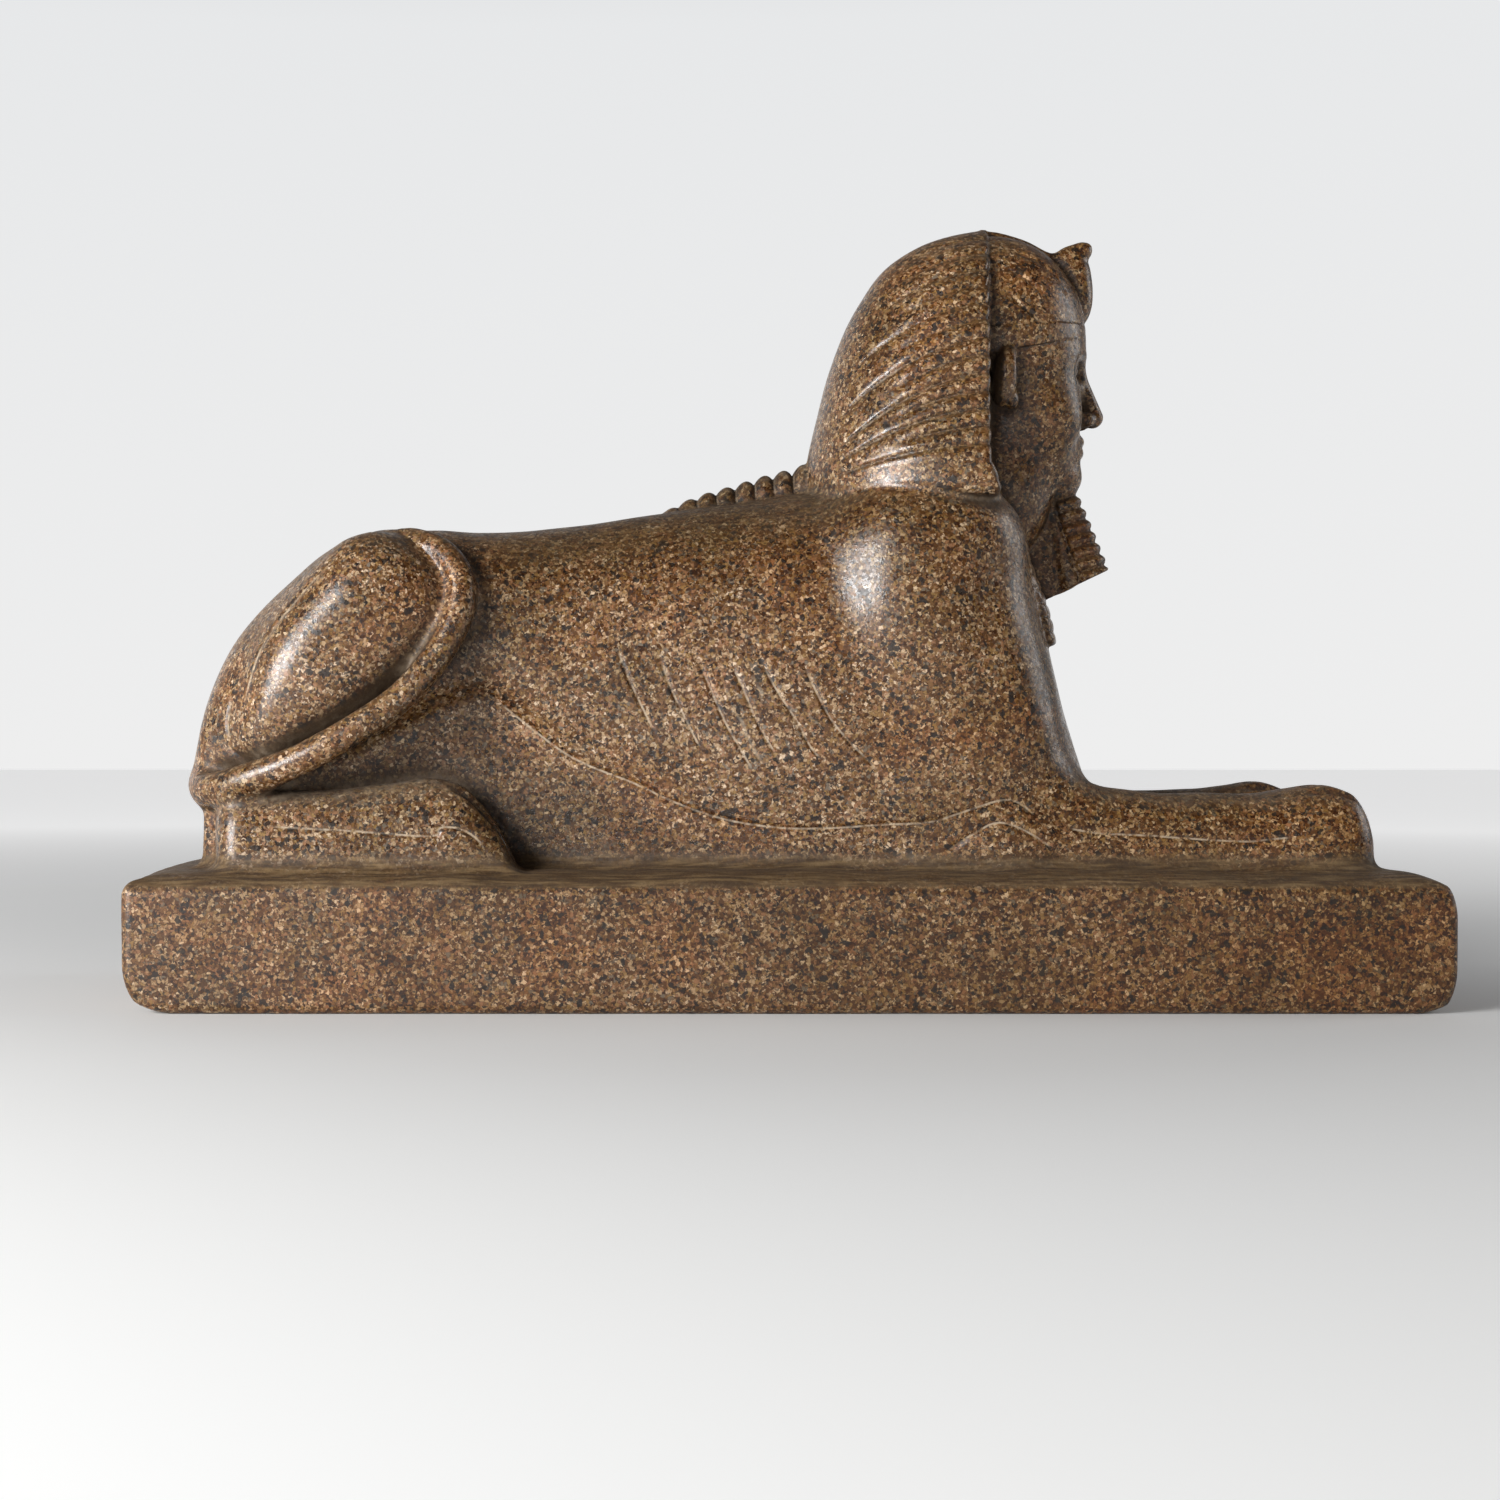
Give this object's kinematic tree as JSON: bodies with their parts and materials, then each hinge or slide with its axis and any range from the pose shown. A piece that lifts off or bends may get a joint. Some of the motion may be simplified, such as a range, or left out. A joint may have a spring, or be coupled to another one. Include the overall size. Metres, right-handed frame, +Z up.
{
  "type": "sphinx statue",
  "caption": "Recumbent sphinx with striped headcloth, plaited beard and tail over the right thigh, carved in one block with its slab plinth.",
  "frame": {"origin": "middle of the plinth's underside, on the surface that the statue stands on", "axes": "+X from the rump to the paws, the way the sphinx faces; +Y to its left; +Z up"},
  "size_m": [0.66, 0.211, 0.4098],
  "materials": {
    "granite": "polished"
  },
  "bodies": {
    "root": {"sphinx_statue": "granite"}
  },
  "joints": []
}
